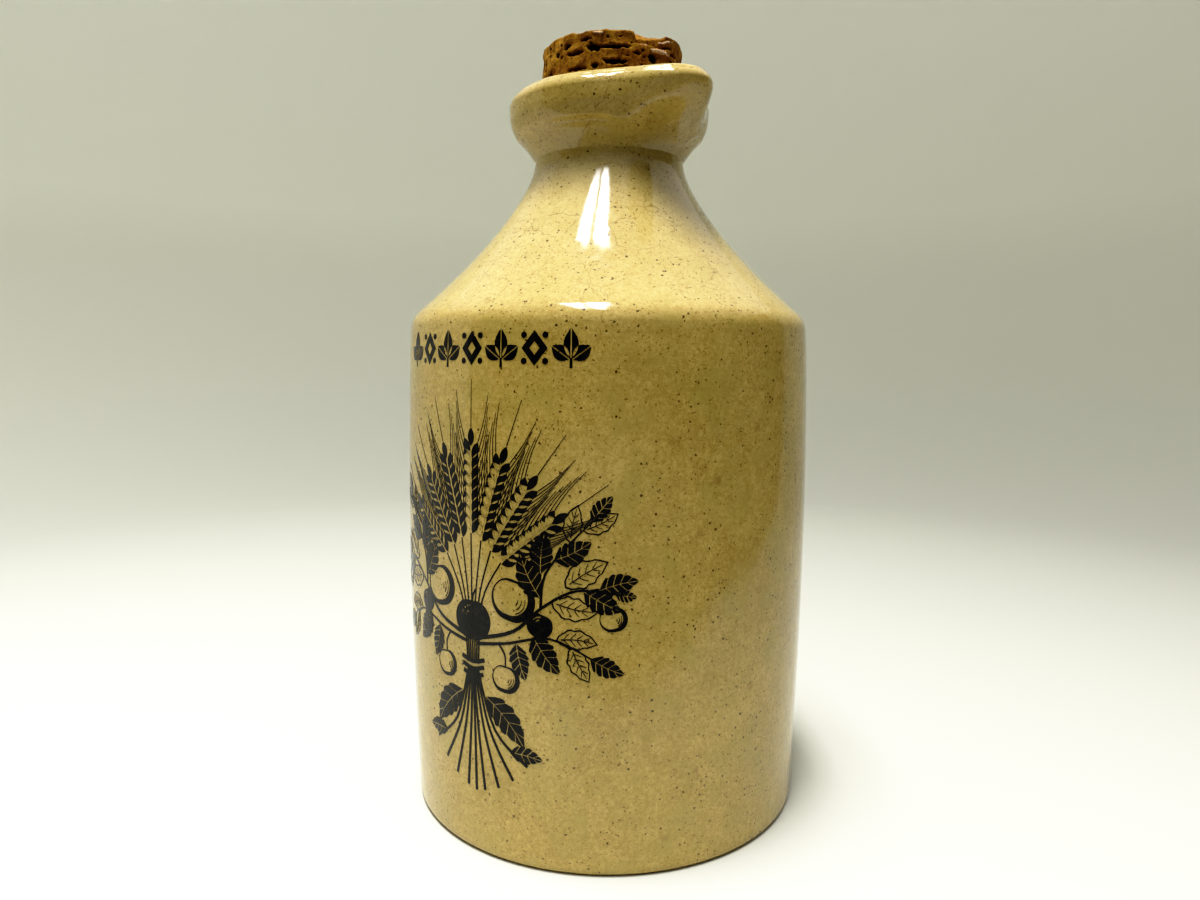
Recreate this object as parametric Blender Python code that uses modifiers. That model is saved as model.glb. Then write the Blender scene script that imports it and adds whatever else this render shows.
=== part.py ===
# Stoneware cruet with a pinched pouring lip, shut by a crumbling cork.
# Metres, +Z up. The origin is the centre of the foot, and the pouring lip points along +X.

import math

import bpy
from mathutils import Vector, noise

# Body of the jar, turned about Z
FOOT_RADIUS = 0.0384
FOOT_ROUNDING = 0.0009
BELLY_RADIUS = 0.03975
BELLY_HEIGHT = 0.0580
SHOULDER_RADIUS = 0.03895      # where wall and cone would meet in a sharp corner
SHOULDER_HEIGHT = 0.0943
SHOULDER_ROUNDING = 0.0030
NECK_RADIUS = 0.0145
NECK_HEIGHT = 0.1252
CONE_HOLLOWNESS = 1.46         # power of the hollow curve from shoulder to neck

# Collar above the neck, and the round lip that ends it
COLLAR_RADIUS = 0.0196
COLLAR_HEIGHT = 0.1359
COLLAR_UNDERSIDE_RADII = (0.0168, 0.0191)
COLLAR_UNDERSIDE_SHARES = (0.30, 0.62)
LIP_CREST_RADIUS = 0.0185
LIP_HEIGHT = 0.1374
COLLAR_WALL = 0.0030

# Pouring lip drawn out of the collar, with a finger pinch on either side
SPOUT_REACH = 0.0067
SPOUT_SPREAD = math.radians(21.4)
SPOUT_DROP = 0.00035
PINCH_ANGLE = math.radians(35)
PINCH_SPREAD = math.radians(14)
PINCH_DEPTH = 0.0013
SHAPING_START = 0.1257         # the neck below this stays round

# Bore in the neck, filled by the cork
BORE_RADIUS = 0.0113
BORE_TOP = 0.1262
BORE_FLOOR = 0.1155
CORK_GAP = 0.0003

# Cork: a plain plug, pared down where it enters the bore and leaning a little
CORK_RADIUS = 0.0136
CORK_TOP = 0.1459
PARED_START = 0.1264
PARED_END = 0.1316
PARED_ROUNDING = 0.0010
CORK_EDGE_ROUNDING = 0.0006
CORK_LEAN = 0.0007             # how far the top stands off the axis
CORK_LEAN_ANGLE = math.radians(53)
CRUMB_DEPTH = 0.0005
CRUMB_SIZE = 0.0024
CHIP_ANGLE = math.radians(-6)
CHIP_SPREAD = math.radians(24)
CHIP_DEPTH = 0.0011
CHIP_HEIGHT = 0.0034
CHIP_DROP = 0.0003

BOTTLE_SEGMENTS = 72
CORK_SEGMENTS = 52


def smooth_step(low, high, value):
    share = min(1.0, max(0.0, (value - low) / (high - low)))
    return share * share * (3.0 - 2.0 * share)


def bell(distance, spread):
    return math.exp(-((distance / spread) ** 2))


def arc(centre, radius, start, end, steps):
    """Points of an arc in the outline's plane, from one angle to another in degrees."""
    points = []
    for i in range(steps + 1):
        angle = math.radians(start + (end - start) * i / steps)
        points.append((centre[0] + radius * math.cos(angle), centre[1] + radius * math.sin(angle)))
    return points


def blend_knots(before, start, end, after, t):
    """One coordinate of a Catmull-Rom curve, a share t of the way from start to end."""
    linear = (end - before) * t
    square = (2 * before - 5 * start + 4 * end - after) * t ** 2
    cube = (3 * start - before - 3 * end + after) * t ** 3
    return 0.5 * (2 * start + linear + square + cube)


def through(knots, steps):
    """A smooth curve through a few knots."""
    padded = [knots[0]] + list(knots) + [knots[-1]]
    points = []
    for group in zip(padded, padded[1:], padded[2:], padded[3:]):
        for i in range(steps):
            radii = [knot[0] for knot in group]
            heights = [knot[1] for knot in group]
            points.append((blend_knots(*radii, i / steps), blend_knots(*heights, i / steps)))
    points.append(knots[-1])
    return points


def wall_radius(height):
    """The side wall swells gently to the belly, and draws in again to the foot and the shoulder."""
    if height < BELLY_HEIGHT:
        share = (BELLY_HEIGHT - height) / BELLY_HEIGHT
        return BELLY_RADIUS - (BELLY_RADIUS - FOOT_RADIUS) * share ** 2
    share = (height - BELLY_HEIGHT) / (SHOULDER_HEIGHT - BELLY_HEIGHT)
    return BELLY_RADIUS - (BELLY_RADIUS - SHOULDER_RADIUS) * share ** 2


def cone_radius(height):
    """The hollow cone from the shoulder up to the neck."""
    share = (height - SHOULDER_HEIGHT) / (NECK_HEIGHT - SHOULDER_HEIGHT)
    return NECK_RADIUS + (SHOULDER_RADIUS - NECK_RADIUS) * (1.0 - share) ** CONE_HOLLOWNESS


def cone_normal_angle():
    """The way that the cone's foot faces, in degrees above level, which the shoulder's rounding ends at."""
    slope = CONE_HOLLOWNESS * (SHOULDER_RADIUS - NECK_RADIUS) / (NECK_HEIGHT - SHOULDER_HEIGHT)
    return math.degrees(math.atan(slope))


def collar_outline():
    """Up inside the mouth, over the lip and down the underside of the collar to the neck."""
    rise = COLLAR_HEIGHT - NECK_HEIGHT
    under = []
    for radius, share in zip(COLLAR_UNDERSIDE_RADII, COLLAR_UNDERSIDE_SHARES):
        under.append((radius, NECK_HEIGHT + share * rise))
    low, high = under
    return through([
        (BORE_RADIUS + 0.0007, BORE_TOP + 0.0013),
        (low[0] - 0.6 * COLLAR_WALL, low[1] + 0.5 * COLLAR_WALL),
        (COLLAR_RADIUS - COLLAR_WALL, COLLAR_HEIGHT - 0.5 * COLLAR_WALL),
        (LIP_CREST_RADIUS - 0.4 * COLLAR_WALL, LIP_HEIGHT - 0.15 * COLLAR_WALL),
        (LIP_CREST_RADIUS, LIP_HEIGHT),
        (0.35 * LIP_CREST_RADIUS + 0.65 * COLLAR_RADIUS, 0.7 * LIP_HEIGHT + 0.3 * COLLAR_HEIGHT),
        (COLLAR_RADIUS, COLLAR_HEIGHT),
        high,
        low,
        (NECK_RADIUS, NECK_HEIGHT),
    ], 3)


def shoulder_outline():
    """Down the hollow cone and round the shoulder onto the wall."""
    turn = cone_normal_angle()
    centre = (
        SHOULDER_RADIUS - SHOULDER_ROUNDING,
        SHOULDER_HEIGHT - SHOULDER_ROUNDING * math.tan(math.radians(turn) / 2),
    )
    rounding = arc(centre, SHOULDER_ROUNDING, turn, 0, 4)
    top = NECK_HEIGHT - 0.0022
    bottom = rounding[0][1] + 0.0011
    steps = 9
    cone = []
    for i in range(steps + 1):
        height = top + (bottom - top) * i / steps
        cone.append((cone_radius(height), height))
    return cone + rounding


def wall_outline():
    """Down the side wall, round the edge of the foot and in under it."""
    top = SHOULDER_HEIGHT - 0.0052
    bottom = FOOT_ROUNDING + 0.0015
    steps = 7
    wall = []
    for i in range(steps + 1):
        height = top + (bottom - top) * i / steps
        wall.append((wall_radius(height), height))
    foot = arc((FOOT_RADIUS - FOOT_ROUNDING, FOOT_ROUNDING), FOOT_ROUNDING, 0, -90, 3)
    return wall + foot + [(0.0, 0.0)]


def bottle_outline():
    bore = [(0.0, BORE_FLOOR), (BORE_RADIUS, BORE_FLOOR), (BORE_RADIUS, BORE_TOP)]
    return bore + collar_outline() + shoulder_outline() + wall_outline()


def cork_outline():
    """From the top's middle, out over the edge, down the side and in under the pared end."""
    pared = BORE_RADIUS - CORK_GAP
    bottom = BORE_FLOOR + CORK_GAP
    edge_radius = CORK_RADIUS - CORK_EDGE_ROUNDING
    edge_height = CORK_TOP - CORK_EDGE_ROUNDING
    top_rings = 6
    top = []
    for i in range(top_rings):
        top.append((edge_radius * i / top_rings, CORK_TOP))
    edge = arc((edge_radius, edge_height), CORK_EDGE_ROUNDING, 90, 0, 2)
    side_rings = 10
    side = []
    for i in range(1, side_rings + 1):
        height = edge_height - (edge_height - PARED_START) * i / side_rings
        paring = smooth_step(PARED_END, PARED_START, height)
        side.append((CORK_RADIUS + (pared - CORK_RADIUS) * paring, height))
    end = arc((pared - PARED_ROUNDING, bottom + PARED_ROUNDING), PARED_ROUNDING, 0, -90, 2)
    return top + edge + side + end + [(0.0, bottom)]


def turned(name, outline, segments):
    """A turned solid: its outline as a chain of edges, swept round Z by a Screw modifier."""
    mesh = bpy.data.meshes.new(name + "_outline")
    chain = [(i, i + 1) for i in range(len(outline) - 1)]
    mesh.from_pydata([(radius, 0.0, height) for radius, height in outline], chain, [])
    guide = bpy.data.objects.new(name + "_outline", mesh)
    bpy.context.scene.collection.objects.link(guide)
    screw = guide.modifiers.new("Turn", "SCREW")
    screw.axis = "Z"
    screw.angle = math.tau
    screw.steps = segments
    screw.render_steps = segments
    screw.use_merge_vertices = True
    screw.merge_threshold = 0.00001
    evaluated = guide.evaluated_get(bpy.context.evaluated_depsgraph_get())
    solid = bpy.data.objects.new(name, bpy.data.meshes.new_from_object(evaluated))
    bpy.data.objects.remove(guide)
    solid.data.name = name
    return solid


def at(radius, angle, height):
    return Vector((radius * math.cos(angle), radius * math.sin(angle), height))


def shape_lip(point):
    """Draws the pouring lip out of the round collar, and presses in the pinch on either side of it."""
    lift = smooth_step(SHAPING_START, COLLAR_HEIGHT, point.z)
    if lift == 0.0:
        return point
    angle = math.atan2(point.y, point.x)
    spout = bell(angle, SPOUT_SPREAD)
    pinch = bell(abs(angle) - PINCH_ANGLE, PINCH_SPREAD)
    radius = math.hypot(point.x, point.y) + lift * (SPOUT_REACH * spout - PINCH_DEPTH * pinch)
    return at(radius, angle, point.z - lift * SPOUT_DROP * spout)


def crumble(point):
    """Wears the cork down: an uneven top, a chewed edge and one broad chip. The pared end stays clean."""
    exposed = smooth_step(PARED_END, PARED_END + 0.003, point.z)
    if exposed == 0.0:
        return point
    angle = math.atan2(point.y, point.x)
    radius = math.hypot(point.x, point.y)
    near_side = smooth_step(0.8 * CORK_RADIUS, CORK_RADIUS, radius)
    near_top = smooth_step(CORK_TOP - CHIP_HEIGHT, CORK_TOP - 0.3 * CHIP_HEIGHT, point.z)
    top_crumbs = CRUMB_DEPTH * noise.noise(point / CRUMB_SIZE)
    side_crumbs = CRUMB_DEPTH * noise.noise(point / CRUMB_SIZE + Vector((7.0, 3.0, 1.0)))
    chip = bell(angle - CHIP_ANGLE, CHIP_SPREAD) * near_top * near_side
    radius += exposed * near_side * (0.6 * side_crumbs - 0.2 * CRUMB_DEPTH) - CHIP_DEPTH * chip
    height = point.z + near_top * top_crumbs - CHIP_DROP * chip
    lean = CORK_LEAN * smooth_step(PARED_START, CORK_TOP, point.z)
    return at(radius, angle, height) + at(lean, CORK_LEAN_ANGLE, 0.0)


def surface(name, colour, roughness):
    material = bpy.data.materials.new(name)
    material.use_nodes = True
    shader = material.node_tree.nodes["Principled BSDF"]
    shader.inputs["Base Color"].default_value = (*colour, 1.0)
    shader.inputs["Roughness"].default_value = roughness
    shader.inputs["Metallic"].default_value = 0.0
    return material


def add_piece(name, outline, segments, rule, material, collection):
    """A turned piece, each of its points then moved by the rule that gives it its hand-made form."""
    piece = turned(name, outline, segments)
    for vertex in piece.data.vertices:
        vertex.co = rule(vertex.co)
    piece.data.shade_smooth()
    piece.data.set_sharp_from_angle(angle=math.radians(40))
    piece.data.materials.append(material)
    collection.objects.link(piece)


def main():
    for old in list(bpy.data.objects):
        bpy.data.objects.remove(old)
    cruet = bpy.data.collections.new("Cruet")
    bpy.context.scene.collection.children.link(cruet)
    glaze = surface("Buff glaze", (0.50, 0.38, 0.19), 0.12)
    bark = surface("Cork bark", (0.24, 0.12, 0.04), 0.85)
    add_piece("bottle", bottle_outline(), BOTTLE_SEGMENTS, shape_lip, glaze, cruet)
    add_piece("cork", cork_outline(), CORK_SEGMENTS, crumble, bark, cruet)


main()
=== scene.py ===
# Stoneware cruet with a pinched pouring lip, a crumbling cork and a black print fired under the glaze.
import math
import random

import bpy
import numpy as np
from mathutils import Matrix, Vector, noise


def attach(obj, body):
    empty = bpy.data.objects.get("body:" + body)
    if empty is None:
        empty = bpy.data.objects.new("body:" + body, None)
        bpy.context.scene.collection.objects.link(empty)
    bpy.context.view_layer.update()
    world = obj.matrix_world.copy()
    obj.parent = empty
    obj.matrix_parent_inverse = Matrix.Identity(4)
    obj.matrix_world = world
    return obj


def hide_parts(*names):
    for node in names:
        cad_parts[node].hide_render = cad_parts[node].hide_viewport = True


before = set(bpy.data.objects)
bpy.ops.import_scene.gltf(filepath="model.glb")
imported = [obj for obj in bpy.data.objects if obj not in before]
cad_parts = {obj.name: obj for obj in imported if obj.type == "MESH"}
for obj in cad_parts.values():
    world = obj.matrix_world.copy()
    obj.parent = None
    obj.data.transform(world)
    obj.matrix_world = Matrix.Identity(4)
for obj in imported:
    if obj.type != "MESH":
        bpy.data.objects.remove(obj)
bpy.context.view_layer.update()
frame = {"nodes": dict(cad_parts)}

print("frame loaded:", ", ".join(frame["nodes"]))

mergeDistance = 0.000002
seedSize = 0.001           # a small square that is merged into the first point of a profile


# small helpers

def deselectAll():
    if bpy.context.object and bpy.context.object.mode != "OBJECT":
        bpy.ops.object.mode_set(mode="OBJECT")
    bpy.ops.object.select_all(action="DESELECT")


def smoothStep(low, high, value):
    share = np.clip((value - low) / (high - low), 0.0, 1.0)
    return share * share * (3.0 - 2.0 * share)


def bell(distance, spread):
    return np.exp(-((distance / spread) ** 2))


def polar(angle, radius, height):
    return np.stack((radius * np.cos(angle), radius * np.sin(angle), height), axis=1)


def readPoints(piece):
    points = np.zeros(len(piece.data.vertices) * 3)
    piece.data.vertices.foreach_get("co", points)
    return points.reshape(-1, 3)


def writePoints(piece, points):
    piece.data.vertices.foreach_set("co", points.ravel())
    piece.data.update()


def noiseAt(points, grain, seed=0.0):
    shift = Vector((seed, 2.3 * seed, -1.7 * seed))
    return np.array([noise.noise(Vector(point) / grain + shift) for point in points])


def arcPoints(centre, radius, start, end, steps):
    angles = np.radians(np.linspace(start, end, steps + 1))
    return [(centre[0] + radius * math.cos(a), centre[1] + radius * math.sin(a)) for a in angles]


def curveThrough(knots, steps):   # Catmull-Rom through a few knots
    knots = np.array(knots)
    padded = np.vstack((knots[:1], knots, knots[-1:]))
    points = []
    for before, start, end, after in zip(padded, padded[1:], padded[2:], padded[3:]):
        for i in range(steps):
            t = i / steps
            linear = (end - before) * t
            square = (2 * before - 5 * start + 4 * end - after) * t ** 2
            cube = (3 * start - before - 3 * end + after) * t ** 3
            points.append(tuple(0.5 * (2 * start + linear + square + cube)))
    return points + [tuple(knots[-1])]


def extrudeProfile(name, profile):   # one point extruded along the profile, left selected in edit mode
    deselectAll()
    radius, height = profile[0]
    bpy.ops.mesh.primitive_plane_add(size=seedSize, location=(radius, 0.0, height))
    piece = bpy.context.object
    piece.name = name
    bpy.ops.object.transform_apply(location=True, rotation=True, scale=True)
    bpy.ops.object.mode_set(mode="EDIT")
    bpy.ops.mesh.select_all(action="SELECT")
    bpy.ops.mesh.merge(type="CENTER")
    for start, end in zip(profile, profile[1:]):
        move = (end[0] - start[0], 0.0, end[1] - start[1])
        bpy.ops.mesh.extrude_region_move(TRANSFORM_OT_translate={"value": move})
    bpy.ops.mesh.select_all(action="SELECT")
    return piece


def spinProfile(name, profile, steps):
    piece = extrudeProfile(name, profile)
    bpy.ops.mesh.spin(steps=steps, angle=math.tau, center=(0, 0, 0), axis=(0, 0, 1))
    bpy.ops.mesh.select_all(action="SELECT")
    bpy.ops.mesh.remove_doubles(threshold=mergeDistance)
    bpy.ops.mesh.normals_make_consistent(inside=False)
    bpy.ops.object.mode_set(mode="OBJECT")
    bpy.ops.object.shade_smooth()
    return piece


# the jar: foot, wall, shoulder, hollow cone, collar and bore

jar = {
    "footRadius": 0.0384, "footRounding": 0.0014,
    "bellyRadius": 0.03975, "bellyHeight": 0.0580,
    "shoulderRadius": 0.03895, "shoulderHeight": 0.0943, "shoulderRounding": 0.0045,
    "neckRadius": 0.0145, "neckHeight": 0.1252, "coneHollow": 1.46,
    "collarRadius": 0.0192, "collarHeight": 0.1359, "collarWall": 0.0027,
    "underCollar": ((0.0170, 0.1284), (0.0181, 0.1300), (0.0190, 0.1321)),
    "rollHeight": 0.1347, "rollDepth": 0.0020, "lipHeight": 0.1374,      # the thick round lip
    "lipWaver": 0.00016, "lipWaverSize": 0.30,
    "spoutReach": 0.0067, "spoutSpread": math.radians(21.4), "spoutDrop": -0.0002,
    "pinchAngle": math.radians(35), "pinchSpread": math.radians(14),
    "pinchDepth": 0.0007, "pinchLift": 0.0004,
    "shapingStart": 0.1257,
    # a wavy fold under the collar, lowest on both sides of the spout
    "foldHeight": 0.1289, "foldDip": 0.0029, "foldAngle": math.radians(17), "foldSpread": math.radians(14),
    "foldStep": 0.00045, "foldRise": 0.0011, "foldRidge": 0.00013, "ridgeSpread": 0.0004,
    "boreRadius": 0.0113, "boreTop": 0.1262, "boreFloor": 0.1155,
    "mouthFlare": (0.0007, 0.0013),                       # out and up from the top of the bore
    # how far the plain cone and wall stop short of their upper and lower ends
    "coneEnds": (0.0022, 0.0006), "wallEnds": (0.0052, 0.0024),
    "skin": 0.00005,           # the glazed face lies this far inside the bare size, and the print on it
    "waver": 0.00010,          # how far the hand-turned wall strays inwards
    "bulgeShare": 0.32, "ringShare": 0.10, "ringPitch": 0.0042,
    "waverFades": ((-0.001, 0.002), (0.0005, 0.003), (0.0, -0.004)),   # neck, foot and collar
    "spinSteps": 240,
}


def wallRadius(height):
    belly, spot = jar["bellyRadius"], jar["bellyHeight"]
    below = (spot - height) / spot
    above = (height - spot) / (jar["shoulderHeight"] - spot)
    toFoot = (belly - jar["footRadius"]) * np.clip(below, 0, None) ** 2
    toShoulder = (belly - jar["shoulderRadius"]) * np.clip(above, 0, None) ** 2
    return belly - toFoot - toShoulder


def coneRadius(height):
    share = (height - jar["shoulderHeight"]) / (jar["neckHeight"] - jar["shoulderHeight"])
    spread = jar["shoulderRadius"] - jar["neckRadius"]
    return jar["neckRadius"] + spread * (1.0 - share) ** jar["coneHollow"]


def collarProfile():
    low, middle, high = jar["underCollar"]
    wall, rim, top = jar["collarWall"], jar["collarRadius"], jar["lipHeight"]
    crest = rim - jar["rollDepth"]
    flareOut, flareUp = jar["mouthFlare"]
    inside = curveThrough([
        (jar["boreRadius"] + flareOut, jar["boreTop"] + flareUp),
        (low[0] - 0.7 * wall, low[1] + 0.5 * wall),
        (rim - wall, jar["rollHeight"] - 0.1 * wall),
        (crest - 0.13 * wall, top - 0.15 * wall),
        (crest, top),
    ], 7)
    rise = top - jar["rollHeight"]
    roll = [(crest + jar["rollDepth"] * math.cos(a), jar["rollHeight"] + rise * math.sin(a))
            for a in np.linspace(math.pi / 2, 0, 15)[1:-1]]
    neck = (jar["neckRadius"], jar["neckHeight"])
    under = curveThrough([(rim, jar["rollHeight"]), high, middle, low, neck], 17)
    return inside + roll + under


def jarProfile():
    slope = jar["coneHollow"] * (jar["shoulderRadius"] - jar["neckRadius"])
    slope /= jar["neckHeight"] - jar["shoulderHeight"]
    turn = math.degrees(math.atan(slope))
    radius = jar["shoulderRounding"]
    drop = radius * math.tan(math.radians(turn) / 2)
    corner = (jar["shoulderRadius"] - radius, jar["shoulderHeight"] - drop)
    shoulder = arcPoints(corner, radius, turn, 0, 8)
    upper, lower = jar["coneEnds"]
    cone = [(coneRadius(h), h) for h in np.linspace(jar["neckHeight"] - upper, shoulder[0][1] + lower, 30)]
    upper, lower = jar["wallEnds"]
    wall = [(wallRadius(h), h) for h in np.linspace(jar["shoulderHeight"] - upper, lower, 60)]
    edge = jar["footRounding"]
    foot = arcPoints((jar["footRadius"] - edge, edge), edge, 0, -90, 7)
    base = [(r, 0.0) for r in np.linspace(jar["footRadius"] - 2 * edge, 0.0, 14)]
    bore = [(r, jar["boreFloor"]) for r in np.linspace(0.0, jar["boreRadius"], 5)]
    bore += [(jar["boreRadius"], h) for h in np.linspace(jar["boreFloor"], jar["boreTop"], 6)[1:]]
    return bore + collarProfile() + cone + shoulder + wall + foot + base


def wallWaver(angle, height):   # slow bulges, and the faint rings that the potter's fingers left
    bulge = noiseAt(polar(angle, np.full_like(height, 1.0), height * 30), 0.9, 4.0)
    rings = noiseAt(polar(angle, np.full_like(height, 0.3), height / jar["ringPitch"]), 1.0)
    return jar["skin"] + jar["waver"] * (0.5 + jar["bulgeShare"] * bulge + jar["ringShare"] * rings)


def underFold(angle, radius, height):   # the lip's clay folded down over the funnel under it
    rise = (height - jar["neckHeight"]) / (jar["rollHeight"] - jar["neckHeight"])
    outer = radius > jar["neckRadius"] - 0.0015 + rise * 0.005
    line = jar["foldHeight"] - jar["foldDip"] * bell(np.abs(angle) - jar["foldAngle"], jar["foldSpread"])
    step = smoothStep(line, line + jar["foldRise"], height)
    step = step * smoothStep(jar["lipHeight"], jar["rollHeight"], height)
    ridge = bell(height - line, jar["ridgeSpread"])
    return outer * (jar["foldStep"] * step + jar["foldRidge"] * ridge)


def shapeLip(points):   # the spout drawn out of the collar, with a pinch on each side
    angle = np.arctan2(points[:, 1], points[:, 0])
    radius = np.hypot(points[:, 0], points[:, 1])
    lift = smoothStep(jar["shapingStart"], jar["collarHeight"], points[:, 2])
    spout = bell(angle, jar["spoutSpread"])
    pinch = bell(np.abs(angle) - jar["pinchAngle"], jar["pinchSpread"])
    fold = underFold(angle, radius, points[:, 2])
    radius = radius + lift * (jar["spoutReach"] * spout - jar["pinchDepth"] * pinch) + fold
    waver = jar["lipWaver"] * noiseAt(polar(angle, np.ones_like(angle), 0 * angle), jar["lipWaverSize"], 3.0)
    shift = jar["pinchLift"] * pinch - jar["spoutDrop"] * spout + waver
    return polar(angle, radius, points[:, 2] + lift * shift)


def buildJar():
    piece = spinProfile("stoneJar", jarProfile(), jar["spinSteps"])
    points = readPoints(piece)
    angle = np.arctan2(points[:, 1], points[:, 0])
    radius = np.hypot(points[:, 0], points[:, 1])
    neck, foot, collar = jar["waverFades"]
    outside = smoothStep(jar["neckRadius"] + neck[0], jar["neckRadius"] + neck[1], radius)
    outside *= smoothStep(*foot, points[:, 2])
    outside *= smoothStep(jar["collarHeight"] + collar[0], jar["collarHeight"] + collar[1], points[:, 2])
    radius = radius - outside * wallWaver(angle, points[:, 2])
    writePoints(piece, shapeLip(polar(angle, radius, points[:, 2])))
    print("jar turned:", len(piece.data.polygons), "faces")
    return piece


# the cork: a pared plug, pitted all round, its top crumbled away

cork = {
    "radius": 0.0136, "top": 0.1460, "limit": 0.1462, "gap": 0.0003,
    "paredStart": 0.1264, "paredEnd": 0.1316, "paredRounding": 0.0010,
    "edgeRounding": 0.0003, "lean": 0.0005, "leanAngle": math.radians(53),
    "tilt": 0.00030, "tiltAngle": math.radians(143),
    "cornerLift": 0.0006, "cornerAngle": math.radians(22), "cornerSpread": math.radians(15),
    "crumbDepth": 0.0005, "crumbSize": 0.0024, "crumblingTop": (0.0034, 0.0010), "paredBlend": 0.003,
    "raggedSize": 0.0007, "raggedDepth": 0.00007, "raggedTop": 0.00015,
    "fibreSize": 0.0008, "fibreDepth": 0.00005, "chipLift": 0.00018,
    # a piece broken out of the top edge: its ends round the cork, foot, depth and drop
    "breakEnds": (math.radians(-21), math.radians(11)), "breakFoot": 0.1441,
    "breakDepth": 0.0006, "breakDrop": 0.0010, "breakEdge": math.radians(3),
    # place round the cork in degrees, then in mm height, half width, half height and depth, and how red it is
    "pits": (
        (-52, 142.8, 1.5, 0.7, 1.0, 0.0), (-37, 142.9, 2.6, 0.42, 0.9, 0.1),
        (-68, 142.2, 1.6, 0.45, 0.6, 0.6), (-65, 139.4, 1.9, 0.3, 0.5, 0.8),
        (-51, 139.6, 0.6, 0.4, 0.7, 0.0), (-35, 140.3, 2.0, 0.55, 0.7, 0.1),
        (-30, 139.2, 1.2, 0.3, 0.5, 0.2), (-96, 139.2, 0.8, 1.1, 0.7, 0.0),
        (-86, 142.8, 0.5, 0.5, 0.5, 0.2), (3, 144.0, 3.0, 0.28, 0.8, 0.3),
        (-4, 141.6, 1.0, 0.75, 1.1, 0.0), (-6, 139.7, 1.3, 0.4, 0.5, 0.9),
        (13, 141.0, 0.7, 0.5, 0.7, 0.0), (28, 141.1, 0.5, 0.9, 0.4, 0.1),
        (35, 141.8, 0.4, 1.0, 0.4, 0.0), (-74, 143.8, 0.7, 0.55, 0.6, 0.2),
        (-58, 144.5, 1.0, 0.22, 0.4, 0.9), (-20, 138.6, 1.6, 0.35, 0.6, 0.5),
        (-104, 141.8, 0.4, 1.2, 0.6, 0.1), (20, 143.2, 1.2, 0.3, 0.5, 0.8),
        (-18, 141.9, 0.9, 0.28, 0.4, 0.9),
    ),
    # pale broken faces: place round, height, half width, half height
    "chips": (
        (2, 142.9, 2.9, 0.50), (-12, 144.9, 1.5, 0.22),
        (10, 145.0, 2.2, 0.25), (-48, 145.5, 1.1, 0.25),
    ),
    "scattered": 36, "small": 90, "pitSeed": 11,
    "shownFoot": 0.1370,       # the side is meshed finely above this height
    "spinSteps": 400,
}


def corkProfile():
    pared = jar["boreRadius"] - cork["gap"]
    bottom = jar["boreFloor"] + cork["gap"]
    edge = cork["radius"] - cork["edgeRounding"]
    shoulder = cork["top"] - cork["edgeRounding"]
    top = [(r, cork["top"]) for r in np.linspace(0.0, edge, 56)[:-1]]
    rim = arcPoints((edge, shoulder), cork["edgeRounding"], 90, 0, 3)
    side = []
    shown = np.linspace(shoulder, cork["shownFoot"], 58)[1:]
    hidden = np.linspace(cork["shownFoot"], cork["paredStart"], 22)[1:]
    for height in np.concatenate((shown, hidden)):
        paring = smoothStep(cork["paredEnd"], cork["paredStart"], height)
        side.append((cork["radius"] + (pared - cork["radius"]) * paring, height))
    rounding = cork["paredRounding"]
    side += [(pared, h) for h in np.linspace(cork["paredStart"], bottom + rounding, 8)[1:-1]]
    end = arcPoints((pared - rounding, bottom + rounding), rounding, 0, -90, 5)
    return top + rim + side + end + [(0.0, bottom)]


def corkPits():   # the large ones listed, the rest scattered round the sides and the back
    draw = random.Random(cork["pitSeed"])
    pits = list(cork["pits"])
    for i in range(cork["scattered"]):
        place = (draw.uniform(48, 250), draw.uniform(137.5, 144.8))
        size = (draw.uniform(0.5, 2.2), draw.uniform(0.25, 0.6), draw.uniform(0.4, 0.9))
        pits.append((*place, *size, draw.choice((0, 0, 0.7))))
    for i in range(cork["small"]):
        place = (draw.uniform(-180, 180), draw.uniform(137.5, 145.2))
        size = (draw.uniform(0.15, 0.45), draw.uniform(0.12, 0.28), draw.uniform(0.15, 0.3))
        pits.append((*place, *size, draw.choice((0, 0.6))))
    return pits


def apart(angle, height, around, up):   # how far points lie from a spot on the cork's side, in mm
    across = (angle - math.radians(around) + math.pi) % math.tau - math.pi
    return across * cork["radius"] * 1000, height * 1000 - up


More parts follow.
